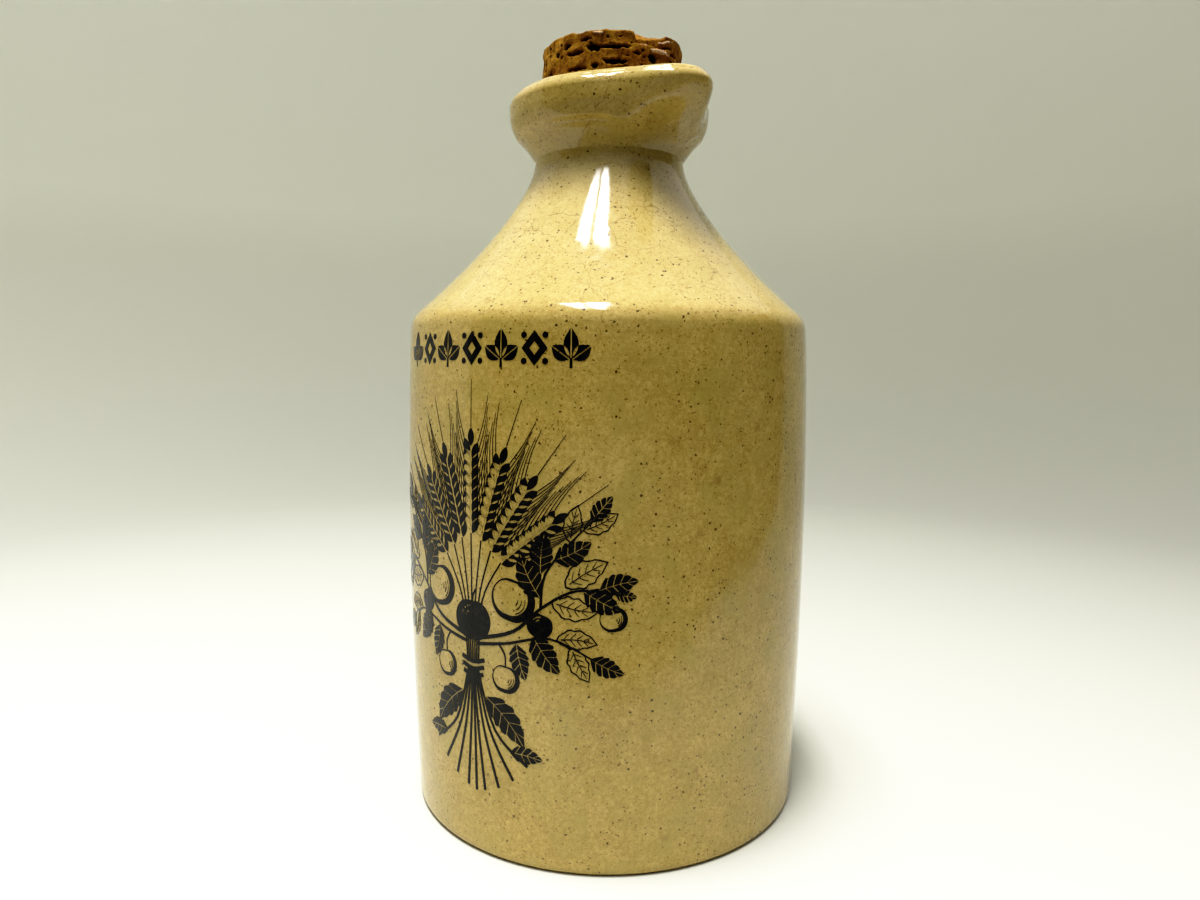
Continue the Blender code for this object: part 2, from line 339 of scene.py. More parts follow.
def buildCork():
    piece = spinProfile("corkStopper", corkProfile(), cork["spinSteps"])
    points = readPoints(piece)
    angle = np.arctan2(points[:, 1], points[:, 0])
    radius = np.hypot(points[:, 0], points[:, 1])
    height = points[:, 2].copy()
    exposed = smoothStep(cork["paredEnd"], cork["paredEnd"] + cork["paredBlend"], height)
    nearSide = smoothStep(0.8 * cork["radius"], cork["radius"], radius)
    low, high = cork["crumblingTop"]
    nearTop = smoothStep(cork["top"] - low, cork["top"] - high, height)
    ragged = noiseAt(points, cork["raggedSize"], 5.0)
    fibre = noiseAt(points * np.array((1.0, 1.0, 0.35)), cork["fibreSize"], 9.0)
    topCrumbs = noiseAt(points, cork["crumbSize"])
    sideCrumbs = noiseAt(points, cork["crumbSize"], 1.3)
    dark, red, pale, sink = (np.zeros(len(points)) for i in range(4))
    for around, up, wide, tall, deep, redness in corkPits():
        across, along = apart(angle, height, around, up)
        hollow = smoothStep(1.15, 0.75, np.hypot(across / wide, along / tall) + 0.55 * ragged)
        sink = np.maximum(sink, deep / 1000 * hollow)
        dark = np.maximum(dark, (1 - redness) * hollow)
        red = np.maximum(red, redness * hollow)
    for around, up, wide, tall in cork["chips"]:
        across, along = apart(angle, height, around, up)
        chip = smoothStep(1.1, 0.8, np.hypot(across / wide, along / tall) + 0.9 * np.abs(ragged))
        pale = np.maximum(pale, chip)
        sink = sink - cork["chipLift"] * chip
    start, finish = cork["breakEnds"]
    soft = cork["breakEdge"]
    broken = smoothStep(start, start + soft, angle) * smoothStep(finish, finish - soft, angle)
    broken = broken * smoothStep(cork["breakFoot"] - 0.0004, cork["breakFoot"], height + 0.0004 * sideCrumbs)
    crumbs = exposed * nearSide * cork["crumbDepth"] * (0.5 * sideCrumbs - 0.15)
    grain = cork["fibreDepth"] * fibre + cork["raggedDepth"] * ragged
    relief = exposed * nearSide * (sink + broken * cork["breakDepth"] - grain)
    tilt = cork["tilt"] * np.cos(angle - cork["tiltAngle"])
    tilt = tilt + cork["cornerLift"] * bell(angle - cork["cornerAngle"], cork["cornerSpread"])
    tilt = tilt * (radius / cork["radius"]) ** 2
    drop = broken * nearSide * cork["breakDrop"] * (1.0 - 0.7 * smoothStep(start, finish, angle))
    crumbled = cork["crumbDepth"] * 0.8 * topCrumbs + cork["raggedTop"] * ragged
    height = height + nearTop * (crumbled + tilt) - drop
    dark = np.maximum(dark * nearSide, 0.5 * (1 - nearSide) * smoothStep(0.3, 0.7, ragged - topCrumbs))
    moved = polar(angle, radius + crumbs - relief, np.minimum(height, cork["limit"]))
    lean = cork["lean"] * smoothStep(cork["paredStart"], cork["top"], points[:, 2])
    moved[:, 0] += lean * math.cos(cork["leanAngle"])
    moved[:, 1] += lean * math.sin(cork["leanAngle"])
    writePoints(piece, moved)
    wear = piece.data.color_attributes.new("wear", "FLOAT_COLOR", "POINT")
    shades = np.stack((dark, red * nearSide, pale * nearSide, np.ones(len(points))), axis=1)
    wear.data.foreach_set("color", shades.ravel())
    print("cork turned:", len(piece.data.polygons), "faces")
    return piece


# materials

def nodeMaker(material):   # adds nodes to one material, sockets given as values or as links
    tree = material.node_tree

    def make(kind, sockets=None, **settings):
        node = tree.nodes.new(kind)
        for name, value in settings.items():
            setattr(node, name, value)
        for name, value in (sockets or {}).items():
            if isinstance(value, bpy.types.NodeSocket):
                tree.links.new(value, node.inputs[name])
            else:
                node.inputs[name].default_value = value
        return node

    return make


def newMaterial(name, roughness):
    material = bpy.data.materials.new(name)
    material.use_nodes = True
    shader = material.node_tree.nodes["Principled BSDF"]
    shader.inputs["Roughness"].default_value = roughness
    return material, shader, nodeMaker(material)


def mixColour(make, share, first, second):
    return make("ShaderNodeMix", {0: share, 6: first, 7: second}, data_type="RGBA").outputs[2]


def calculate(make, operation, first, second):
    return make("ShaderNodeMath", {0: first, 1: second}, operation=operation).outputs[0]


def product(make, first, *others):
    for other in others:
        first = calculate(make, "MULTIPLY", first, other)
    return first


def ranged(make, value, fromLow, fromHigh, toLow=0.0, toHigh=1.0):
    return make("ShaderNodeMapRange", {
        "Value": value, "From Min": fromLow, "From Max": fromHigh, "To Min": toLow, "To Max": toHigh,
    }).outputs["Result"]


glazeLook = {
    "buff": (0.57, 0.417, 0.125, 1.0),
    "deepBuff": (0.38, 0.262, 0.060, 1.0),
    "olive": (0.40, 0.315, 0.080, 1.0),
    # painted light: the colour below is the pale, lit tone painted on the cone
    "litConeCream": (0.585, 0.462, 0.178, 1.0),
    "fleck": (0.048, 0.026, 0.002, 1.0),
    "freckle": (0.16, 0.085, 0.010, 1.0),
    "dust": (0.12, 0.072, 0.014, 1.0),
    "pale": (0.80, 0.62, 0.24, 1.0),
    "smudge": (0.20, 0.105, 0.020, 1.0),
    "roughness": 0.07, "roughnessRange": (0.05, 0.11),
    # grains a metre, noise detail, and the share of the deep colour at the noise's low and high
    "mottles": (
        (55.0, 4.0, 0.0, 0.32), (330.0, 3.0, 0.0, 0.26),
        (1300.0, 3.0, -0.06, 0.42), (3000.0, 2.0, -0.20, 0.36),
    ),
    "oliveGrain": 170.0, "oliveShare": 0.55, "smudgeGrain": 260.0, "smudgeShare": 0.45,
    # cells a metre, smallest and largest radius as shares of a cell, share of cells, colour, strength
    "specks": (
        (900.0, 0.09, 0.24, 0.60, "fleck", 0.94),
        (1150.0, 0.10, 0.25, 0.85, "freckle", 0.80),
        (2100.0, 0.14, 0.28, 0.55, "dust", 0.65),
        (1250.0, 0.08, 0.15, 0.12, "pale", 0.50),
    ),
}


def buildGlaze():
    material, shader, make = newMaterial("speckledGlaze", glazeLook["roughness"])
    place = make("ShaderNodeTexCoord").outputs["Object"]

    def clouds(scale, detail=3.0, vector=None):
        sockets = {"Vector": vector or place, "Scale": scale, "Detail": detail}
        return make("ShaderNodeTexNoise", sockets).outputs["Fac"]

    tone = 0.0
    for scale, detail, low, high in glazeLook["mottles"]:
        tone = calculate(make, "ADD", tone, ranged(make, clouds(scale, detail), 0.35, 0.65, low, high))
    height = make("ShaderNodeSeparateXYZ", {0: place}).outputs["Z"]
    onCone = ranged(make, height, jar["shoulderHeight"] - 0.003, jar["shoulderHeight"] + 0.003)
    underCollar = ranged(make, height, jar["neckHeight"] - 0.004, jar["neckHeight"], 1.0, 0.25)
    # painted light: the glaze is painted paler and creamier on the cone, where the light from above falls,
    # with less mottle and olive there; the paleness fades to a quarter at the neck and on the collar
    paintedConeLight = product(make, onCone, underCollar)
    light = mixColour(make, paintedConeLight, glazeLook["buff"], glazeLook["litConeCream"])
    tone = product(make, tone, ranged(make, paintedConeLight, 0.0, 1.0, 1.0, 0.62))
    colour = mixColour(make, tone, light, glazeLook["deepBuff"])
    oliveClouds = ranged(make, clouds(glazeLook["oliveGrain"]), 0.48, 0.68, 0.0, glazeLook["oliveShare"])
    oliveClouds = product(make, oliveClouds, ranged(make, paintedConeLight, 0.0, 1.0, 1.0, 0.5))
    colour = mixColour(make, oliveClouds, colour, glazeLook["olive"])
    # specks, each kind in its own cells, thicker in some places than in others
    wobble = make("ShaderNodeTexNoise", {"Vector": place, "Scale": 3200.0, "Detail": 2.0}).outputs["Color"]
    warped = make("ShaderNodeMix", {0: 0.0005, 4: place, 5: wobble}, data_type="VECTOR").outputs[1]
    cluster = clouds(120.0, 2.0)
    for scale, small, large, share, tint, strength in glazeLook["specks"]:
        cell = make("ShaderNodeTexVoronoi", {"Vector": warped, "Scale": scale})
        chance = make("ShaderNodeSeparateColor", {"Color": cell.outputs["Color"]})
        size = ranged(make, chance.outputs["Green"], 0.0, 1.0, small, large)
        limit = ranged(make, cluster, 0.35, 0.65, 0.35 * share, 1.6 * share)
        there = calculate(make, "LESS_THAN", chance.outputs["Red"], limit)
        edge = calculate(make, "SUBTRACT", size, cell.outputs["Distance"])
        spot = ranged(make, edge, 0.0, 0.05)
        colour = mixColour(make, product(make, there, spot, strength), colour, glazeLook[tint])
    smudge = clouds(glazeLook["smudgeGrain"], 3.0, warped)
    smudge = ranged(make, smudge, 0.68, 0.76, 0.0, glazeLook["smudgeShare"])
    colour = mixColour(make, smudge, colour, glazeLook["smudge"])
    # faint rings from the wheel, strongest under the shoulder
    flat = make("ShaderNodeMapping", {"Vector": place, "Scale": (0.10, 0.10, 1.0)}).outputs[0]
    shoulder = jar["shoulderHeight"]
    nearShoulder = ranged(make, height, shoulder - 0.020, shoulder - 0.004, 0.35, 1.0)
    nearShoulder = calculate(make, "SUBTRACT", nearShoulder, product(make, onCone, 0.85))
    ring = product(make, ranged(make, clouds(750.0, 3.0, flat), 0.52, 0.70, 0.0, 0.22), nearShoulder)
    colour = mixColour(make, ring, colour, glazeLook["smudge"])
    # short slanted dashes and hair-fine craze lines, thickest on the cone
    crazedPart = ranged(make, height, shoulder - 0.002, shoulder + 0.006, 0.35, 1.0)
    slant = {"Vector": place, "Rotation": (0.5, 0.6, 0.9), "Scale": (1.0, 0.24, 1.0)}
    slanted = make("ShaderNodeMapping", slant).outputs[0]
    dash = make("ShaderNodeTexVoronoi", {"Vector": slanted, "Scale": 1500.0})
    dashChance = make("ShaderNodeSeparateColor", {"Color": dash.outputs["Color"]}).outputs["Red"]
    dashed = calculate(make, "LESS_THAN", dash.outputs["Distance"], 0.20)
    dashed = product(make, dashed, calculate(make, "LESS_THAN", dashChance, 0.17))
    colour = mixColour(make, product(make, dashed, crazedPart, 0.6), colour, glazeLook["fleck"])
    bend = make("ShaderNodeTexNoise", {"Vector": place, "Scale": 260.0, "Detail": 2.0}).outputs["Color"]
    bent = make("ShaderNodeMix", {0: 0.004, 4: place, 5: bend}, data_type="VECTOR").outputs[1]
    crack = make("ShaderNodeTexVoronoi", {"Vector": bent, "Scale": 105.0}, feature="DISTANCE_TO_EDGE")
    crazed = ranged(make, crack.outputs["Distance"], 0.014, 0.0)
    crazed = product(make, crazed, ranged(make, clouds(90.0), 0.44, 0.60, 0.0, 0.60), crazedPart)
    colour = mixColour(make, crazed, colour, glazeLook["freckle"])
    material.node_tree.links.new(colour, shader.inputs["Base Color"])
    sheen = ranged(make, clouds(420.0), 0.3, 0.7, *glazeLook["roughnessRange"])
    material.node_tree.links.new(sheen, shader.inputs["Roughness"])
    bump = make("ShaderNodeBump", {"Strength": 0.12, "Distance": 0.0002, "Height": clouds(330.0, 2.0)})
    material.node_tree.links.new(bump.outputs["Normal"], shader.inputs["Normal"])
    return material


corkLook = {
    "bark": (0.28, 0.119, 0.005, 1.0),
    "paleBark": (0.40, 0.205, 0.018, 1.0),
    "darkBark": (0.09, 0.024, 0.002, 1.0),
    "pit": (0.012, 0.004, 0.001, 1.0),
    "redPit": (0.075, 0.006, 0.001, 1.0),
    "chip": (0.64, 0.40, 0.20, 1.0),
    "flake": (0.80, 0.62, 0.50, 1.0),
    "roughness": 0.85, "specular": 0.15,
}


def buildBark():
    material, shader, make = newMaterial("corkBark", corkLook["roughness"])
    shader.inputs["Specular IOR Level"].default_value = corkLook["specular"]
    place = make("ShaderNodeTexCoord").outputs["Object"]
    upright = make("ShaderNodeMapping", {"Vector": place, "Scale": (1.0, 1.0, 0.4)}).outputs[0]
    cloud = make("ShaderNodeTexNoise", {"Vector": place, "Scale": 420.0, "Detail": 4.0}).outputs["Fac"]
    streak = make("ShaderNodeTexNoise", {"Vector": upright, "Scale": 1500.0, "Detail": 4.0}).outputs["Fac"]
    grain = make("ShaderNodeTexNoise", {"Vector": place, "Scale": 3200.0, "Detail": 3.0}).outputs["Fac"]
    colour = mixColour(make, ranged(make, cloud, 0.42, 0.64), corkLook["bark"], corkLook["paleBark"])
    colour = mixColour(make, ranged(make, streak, 0.50, 0.68, 0.0, 0.75), colour, corkLook["darkBark"])
    colour = mixColour(make, ranged(make, grain, 0.52, 0.70, 0.0, 0.6), colour, corkLook["darkBark"])
    worn = make("ShaderNodeAttribute", attribute_name="wear").outputs["Color"]
    wear = make("ShaderNodeSeparateColor", {"Color": worn})
    broken = mixColour(make, ranged(make, grain, 0.45, 0.6), corkLook["chip"], corkLook["flake"])
    colour = mixColour(make, ranged(make, wear.outputs["Blue"], 0.1, 0.7), colour, broken)
    colour = mixColour(make, ranged(make, wear.outputs["Green"], 0.1, 0.7), colour, corkLook["redPit"])
    colour = mixColour(make, ranged(make, wear.outputs["Red"], 0.1, 0.7), colour, corkLook["pit"])
    material.node_tree.links.new(colour, shader.inputs["Base Color"])
    relief = calculate(make, "ADD", streak, grain)
    bump = make("ShaderNodeBump", {"Strength": 0.6, "Distance": 0.0002, "Height": relief})
    material.node_tree.links.new(bump.outputs["Normal"], shader.inputs["Normal"])
    return material


# the print: a row of ornaments on the shoulder of the wall, and a tied harvest sheaf under it
# All of it is drawn flat first, in millimetres, across from its middle line and up from the foot.

def laid(points, base, heading, bend=0.0):   # local (along, across) points on an arc that starts at base
    placed = []
    for along, across in points:
        turn = bend * along
        x, y = (math.sin(turn) / bend, (1 - math.cos(turn)) / bend) if abs(bend) > 1e-6 else (along, 0.0)
        x, y = x - across * math.sin(turn), y + across * math.cos(turn)
        placed.append((base[0] + x * math.cos(heading) - y * math.sin(heading),
                       base[1] + x * math.sin(heading) + y * math.cos(heading)))
    return placed


def strokeShape(knots, thick, thin, steps=5):   # a pen stroke that tapers from thick to thin
    line = np.array(curveThrough(knots, steps))
    along = np.gradient(line, axis=0)
    along /= np.linalg.norm(along, axis=1)[:, None] + 1e-9
    side = np.stack((-along[:, 1], along[:, 0]), axis=1)
    half = 0.5 * np.linspace(thick, thin, len(line))[:, None]
    return [tuple(p) for p in np.vstack((line + side * half, (line - side * half)[::-1]))]


def leafHalf(share, width):
    return 0.5 * width * math.sin(math.pi * min(share, 1.0) ** 0.85) ** 0.85


def darkLeaf(base, heading, length, width, bend=0.0, veins=5, gap=0.17):   # black strips between light veins
    shapes = []
    for side in (-1, 1):
        for i in range(veins):
            low = 0.02 + 0.90 * i / veins
            high = 0.02 + 0.90 * (i + 1) / veins - gap / length
            sweep = 0.13
            inner = [(t * length, side * 0.5 * gap) for t in (low, high)]
            outer = []
            for j in range(7):
                local = j / 6
                t = high + sweep + (low - high) * local
                tooth = 1.0 + 0.16 * math.sin(math.pi * (1 - local) ** 1.6)
                outer.append((min(t, 1.0) * length, side * max(leafHalf(t, width) * tooth, 0.5 * gap)))
            shapes.append(laid(inner + outer, base, heading, bend))
    return shapes


def lightLeaf(base, heading, length, width, bend=0.0, veins=4, line=0.2):   # an outline with thin veins
    steps = 14
    edge = []
    for side, order in ((1, range(steps + 1)), (-1, range(steps - 1, 0, -1))):
        for j in order:
            t = j / steps
            tooth = 1.0 + 0.10 * math.sin(math.tau * veins * t)
            edge.append((t * length, side * leafHalf(t, width) * tooth))
    hole = [(0.04 * length + along * 0.92, across * (1 - 2.4 * line / width)) for along, across in edge]
    shapes = [laid(edge, base, heading, bend), laid(hole, base, heading, bend)]
    inside = [strokeLaid([(0.12, 0.0), (0.5, 0.0), (0.88, 0.0)], length, base, heading, bend, line, 0.1)]
    for i in range(veins):
        t = 0.18 + 0.62 * i / veins
        for side in (-1, 1):
            reach = side * 0.62 * leafHalf(t + 0.14, width) / length
            vein = [(t + 0.02, side * 0.8 * line / length), (t + 0.07, 0.55 * reach), (t + 0.14, reach)]
            inside.append(strokeLaid(vein, length, base, heading, bend, 0.8 * line, 0.08))
    return shapes + inside


def strokeLaid(shares, length, base, heading, bend, thick, thin):
    knots = laid([(a * length, b * length) for a, b in shares], base, heading, bend)
    return strokeShape(knots, thick, thin, 3)


def arcKnots(centre, reach, start, end, count):
    return [(centre + reach * math.cos(math.radians(a)), reach * math.sin(math.radians(a)))
            for a in np.linspace(start, end, count)]


def fruit(centre, radius, turn=0.0, dark=False):   # a round fruit, shaded on the side away from the light
    outline, hole = [], []
    for i in range(36):
        angle = math.tau * i / 36
        dimple = 0.13 * math.exp(-((math.remainder(angle - math.pi / 2, math.tau) / 0.42) ** 2))
        base = 0.05 * math.exp(-((math.remainder(angle + math.pi / 2, math.tau) / 0.30) ** 2))
        reach = radius * (1.0 - dimple - base)
        outline.append((reach * math.cos(angle), 0.94 * reach * math.sin(angle)))
        if not dark:
            hole.append((0.80 * reach * math.cos(angle) - 0.13 * radius,
                         0.76 * reach * math.sin(angle) + 0.06 * radius))
    shapes = [outline]
    if dark:
        for start, away, spread in ((100, 0.62, 62), (112, 0.40, 48)):
            line = arcKnots(0.0, away * radius, start, start + spread, 5)
            shapes.append(strokeShape(line, 0.30, 0.12, 2))
    else:
        shapes.append(hole)
        for k, start in enumerate((-62, -50, -38)):
            away = (0.60 - 0.16 * k) * radius
            line = arcKnots(-0.04 * radius, away, start, start + 80 - 14 * k, 6)
            shapes.append(strokeShape(line, 0.20, 0.08, 2))
    return [laid(shape, centre, turn) for shape in shapes]


def ear(base, heading, length, bend=0.0, pairs=8, kernel=3.1):   # an ear of barley with its beard
    shapes = []
    pitch = (length - kernel) / pairs
    for i in range(pairs):
        along = i * pitch
        for side in (-1, 1):
            spot = along + (0.35 * pitch if side > 0 else 0.0)
            shapes += kernelShape(base, heading, bend, spot, side, kernel, math.radians(24))
    shapes += kernelShape(base, heading, bend, length - 0.9 * kernel, 0, kernel, 0.0)
    return shapes


def kernelShape(base, heading, bend, along, side, kernel, lean):   # one kernel and its beard
    foot = laid([(along, 0.30 * side)], base, heading, bend)[0]
    aim = heading + bend * along + side * lean
    steps = 6
    width = 0.46 * kernel
    body = []
    for sign, order in ((1, range(steps + 1)), (-1, range(steps - 1, 0, -1))):
        for j in order:
            t = j / steps
            body.append((t * kernel, sign * 0.5 * width * math.sin(math.pi * t) ** 0.8))
    beard = 2.6 * kernel
    middle = (kernel + 0.5 * beard, -0.12 * side * kernel)
    tip = [(1.02 * kernel, 0.0), middle, (kernel + beard, -0.42 * side * kernel)]
    return [laid(body, foot, aim), strokeShape(laid(tip, foot, aim), 0.17, 0.07, 4)]


def sprig(base, heading, size):   # three bold leaves on a short stalk
    shapes = [strokeShape(laid([(0.0, 0.0), (0.25 * size, 0.0)], base, heading), 0.5, 0.4, 2)]
    for lean, reach in ((0.0, 0.80), (0.95, 0.62), (-0.95, 0.62)):
        foot = laid([(0.19 * size, 0.0)], base, heading)[0]
        start = laid([(0.05 * size, 0.0)], foot, heading + lean)[0]
        shapes += darkLeaf(start, heading + lean, reach * size - 0.05 * size, 0.36 * size, veins=1, gap=0.22)
    return shapes


def lozenge(centre, size):   # a lozenge with a pierced middle and four dots
    def diamond(half):
        corners = ((1, 0), (0, 1), (-1, 0), (0, -1))
        return [(centre[0] + x * half * 0.80, centre[1] + y * half) for x, y in corners]

    shapes = [diamond(0.5 * size), diamond(0.20 * size)]
    for x in (-1, 1):
        for y in (-1, 1):
            spot = (centre[0] + 0.33 * size * x, centre[1] + 0.37 * size * y)
            shapes.append([(spot[0] + 0.09 * size * math.cos(a), spot[1] + 0.09 * size * math.sin(a))
                           for a in np.linspace(0, math.tau, 12, endpoint=False)])
    return shapes


sheaf = {
    # foot and length of the middle ear, then lean, foot and length of those on both sides of it
    "middleEar": ((0.0, 57.5), 17.5),
    "ears": ((15, (2.2, 56.5), 16.5), (31, (4.2, 55.0), 15.5), (50, (6.2, 53.2), 14.5)),
    # points, thick end and thin end
    "boughs": (
        (((1.2, 39.6), (8.5, 41.9), (13.6, 46.4), (19.5, 49.6), (27.0, 49.0)), 0.75, 0.25),
        (((1.2, 38.6), (7.0, 39.6), (15.0, 41.3), (22.5, 38.0)), 0.65, 0.22),
        (((13.4, 46.4), (14.2, 52.0), (18.5, 57.5), (22.0, 61.0)), 0.50, 0.20),
        (((5.6, 39.4), (6.8, 37.6), (6.9, 35.6)), 0.35, 0.25),
        (((24.5, 49.2), (25.3, 48.0), (25.4, 46.8)), 0.30, 0.20),
    ),
    # foot, heading, length, width, bend and whether it is printed solid
    "leaves": (
        ((13.4, 48.0), 128, 8.0, 4.0, -0.05, True),
        ((15.2, 47.6), -22, 8.0, 4.0, 0.05, False),
        ((17.5, 50.0), 42, 8.4, 4.2, -0.04, False),
        ((20.5, 49.6), -36, 7.0, 3.6, 0.04, True),
        ((23.0, 49.7), 24, 6.6, 3.2, -0.05, True),
        ((25.6, 49.2), -14, 3.6, 1.9, 0.05, True),
        ((9.0, 39.9), -84, 6.4, 3.2, 0.05, True),
        ((12.0, 41.6), -62, 7.6, 3.9, 0.04, True),
        ((16.0, 41.2), 12, 7.0, 3.4, -0.08, False),
        ((18.5, 40.2), -70, 6.6, 3.4, 0.04, False),
        ((21.6, 38.4), -34, 6.2, 3.0, 0.05, True),
        ((13.4, 52.0), 92, 7.2, 3.6, -0.04, True),
        ((15.6, 54.4), 18, 7.0, 3.5, 0.05, True),
        ((18.4, 57.4), 88, 6.4, 3.2, -0.05, False),
        ((20.4, 59.4), 20, 6.4, 3.1, 0.04, False),
        ((21.8, 60.8), 58, 5.4, 2.6, -0.04, True),
        ((2.6, 29.6), -30, 11.0, 4.4, -0.05, True),
        ((7.4, 20.6), 4, 6.2, 2.8, -0.05, True),
    ),
    # middle, radius, tilt and whether it is printed solid
    "fruit": (
        ((8.4, 47.2), 4.1, -12, False), ((13.2, 43.4), 2.3, -20, True),
        ((25.4, 45.0), 2.3, 10, False), ((6.9, 33.4), 2.7, -8, False),
    ),
    "middleFruit": ((0.0, 42.6), 4.0),
    # lower end and bow of each straw, and how thick the straws and the stalks start and end
    "straws": (((2.0, 12.4), 0.4), ((5.0, 13.6), 1.0), ((8.0, 15.6), 1.5), ((10.8, 18.6), 1.8)),
    "strawPen": (0.42, 0.55), "stalkPen": (0.34, 0.26),
    "tieHeight": 33.0, "tieStep": 1.3, "tieHalf": 2.3, "tieThick": 0.75,
    "row": {"middle": 88.4, "pitch": 6.1, "count": 7, "sprig": 6.3, "lozenge": 5.6},
}

ink = {
    # where the flat drawing's middle line goes, and its drum
    "middle": math.radians(-72), "radius": 39.5,
    # in mm: how proud the print is, the step from one motif to the next, and how deep it is rooted
    "lift": 0.045, "levelStep": 0.002, "levels": 16, "sink": 0.020,
    # of the flat drawing in mm: half a slab's thickness, slab to slab, weld distance, width of a strip
    "slab": 0.0005, "layerGap": 0.01, "weld": 0.0002, "cut": 1.6,
}


def drawEars():
    items = [ear(sheaf["middleEar"][0], math.pi / 2, sheaf["middleEar"][1])]
    for side in (-1, 1):
        for lean, (across, up), length in sheaf["ears"]:
            heading = math.pi / 2 - side * math.radians(lean)
            items.append(ear((side * across, up), heading, length, -0.006 * side))
    return items


def drawLeaves():
    items = []
    for side in (-1, 1):
        for (across, up), angle, length, width, bend, solid in sheaf["leaves"]:
            heading = math.radians(angle if side > 0 else 180 - angle)
            draw = darkLeaf if solid else lightLeaf
            items.append(draw((side * across, up), heading, length, width, side * bend))
    return items


def drawFruit():
    items = [fruit(*sheaf["middleFruit"], dark=True)]
    for side in (-1, 1):
        for (across, up), radius, tilt, solid in sheaf["fruit"]:
            items.append(fruit((side * across, up), radius, math.radians(side * tilt), solid))
    return items


def drawStems():
    items = []
    tie, half = sheaf["tieHeight"], sheaf["tieHalf"]
    for side in (-1, 1):
        for knots, thick, thin in sheaf["boughs"]:
            items.append([strokeShape([(side * across, up) for across, up in knots], thick, thin)])
        for lean, (across, up), length in sheaf["ears"]:
            knots = [(0.2 * side * across, tie + 2), (0.36 * side * across, tie + 13), (side * across, up)]
            items.append([strokeShape(knots, *sheaf["stalkPen"])])
        for (across, up), bow in sheaf["straws"]:
            knots = [(0.1 * across, tie + 1), (0.45 * across - 0.2 * bow, tie - 9), (across, up)]
            items.append([strokeShape([(side * a, b) for a, b in knots], *sheaf["strawPen"])])
    items.append([strokeShape([(0.0, tie + 2), (0.0, tie + 13), sheaf["middleEar"][0]], *sheaf["stalkPen"])])
    items.append([strokeShape([(0.0, tie + 1), (0.1, tie - 9), (0.0, 11.9)], *sheaf["strawPen"])])
    items.append([strokeShape([(0.0, 45.6), (0.3, 47.0), (0.9, 48.0)], 0.4, 0.3)])
    for k in range(3):
        low, wide = tie + k * sheaf["tieStep"], half + 0.15 * k
        knots = [(-wide, low + 0.3), (0.0, low - 0.35), (wide, low + 0.3)]
        items.append([strokeShape(knots, sheaf["tieThick"], sheaf["tieThick"])])
    return items


def drawRow():
    row, items = sheaf["row"], []
    for k in range(row["count"]):
        across = row["pitch"] * (k - (row["count"] - 1) / 2)
        if k % 2:
            items.append(lozenge((across, row["middle"]), row["lozenge"]))
        else:
            items.append(sprig((across, row["middle"] - row["sprig"] / 2), math.pi / 2, row["sprig"]))
    return items


def inkSlab(shapes, level):   # one flat motif as a thin filled curve
    curve = bpy.data.curves.new("inkSlab", "CURVE")
    curve.dimensions = "2D"
    curve.fill_mode = "BOTH"
    curve.extrude = ink["slab"]
    for shape in shapes:
        spline = curve.splines.new("POLY")
        spline.points.add(len(shape) - 1)
        for point, (across, up) in zip(spline.points, shape):
            point.co = (across, up, 0.0, 1.0)
        spline.use_cyclic_u = True
    slab = bpy.data.objects.new("inkSlab", curve)
    slab.location.z = ink["layerGap"] * (level + 1)
    bpy.context.scene.collection.objects.link(slab)
    return slab


def printPiece(name, items, material):   # flat slabs joined, cut into narrow strips and laid round the wall
    deselectAll()
    slabs = [inkSlab(shapes, number % ink["levels"]) for number, shapes in enumerate(items)]
    for slab in slabs:
        slab.select_set(True)
    bpy.context.view_layer.objects.active = slabs[0]
    bpy.ops.object.convert(target="MESH")
    bpy.ops.object.join()
    piece = bpy.context.object
    piece.name = name
    bpy.ops.object.transform_apply(location=True, rotation=True, scale=True)
    bpy.ops.object.mode_set(mode="EDIT")
    bpy.ops.mesh.select_all(action="SELECT")
    bpy.ops.mesh.remove_doubles(threshold=ink["weld"])
    reach = max(abs(vertex.co.x) for vertex in piece.data.vertices)
    for k in range(-int(reach / ink["cut"]), int(reach / ink["cut"]) + 1):
        bpy.ops.mesh.select_all(action="SELECT")
        bpy.ops.mesh.bisect(plane_co=((k + 0.5) * ink["cut"], 0.0, 0.0), plane_no=(1.0, 0.0, 0.0))
    bpy.ops.mesh.select_all(action="SELECT")
    bpy.ops.mesh.normals_make_consistent(inside=False)
    bpy.ops.object.mode_set(mode="OBJECT")
    points = readPoints(piece)
    angle = ink["middle"] + points[:, 0] / ink["radius"]
    height = points[:, 1] / 1000
    level = np.round(points[:, 2] / ink["layerGap"]) - 1
    top = points[:, 2] - ink["layerGap"] * (level + 1) > 0
    proud = np.where(top, ink["lift"] + ink["levelStep"] * level, -ink["sink"]) / 1000
    radius = wallRadius(height) - wallWaver(angle, height) + proud
    writePoints(piece, polar(angle, radius, height))
    piece.data.materials.clear()
    piece.data.materials.append(material)
    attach(piece, "root")
    print(name, "printed:", len(items), "motifs,", len(piece.data.polygons), "faces")
    return piece


inkLook = {
    "black": (0.003, 0.003, 0.004, 1.0),
    "worn": (0.013, 0.012, 0.010, 1.0),
    "roughness": 0.09, "specular": 0.20,
}


def buildInk():
    material, shader, make = newMaterial("printedBlack", inkLook["roughness"])
    shader.inputs["Specular IOR Level"].default_value = inkLook["specular"]
    place = make("ShaderNodeTexCoord").outputs["Object"]
    wear = make("ShaderNodeTexNoise", {"Vector": place, "Scale": 900.0, "Detail": 3.0}).outputs["Fac"]
    tone = mixColour(make, ranged(make, wear, 0.45, 0.75), inkLook["black"], inkLook["worn"])
    material.node_tree.links.new(tone, shader.inputs["Base Color"])
    return material


# camera, lights and a pale stage, with a shadow painted on its floor towards the camera

photo = {
    "turn": math.radians(53),            # the camera stands this far round from -Y
    "distance": 0.16994, "height": 0.08599,
    "pitch": 0.10354515, "yaw": -0.00854353, "roll": 0.00656788,
    "lens": 24.96,
}


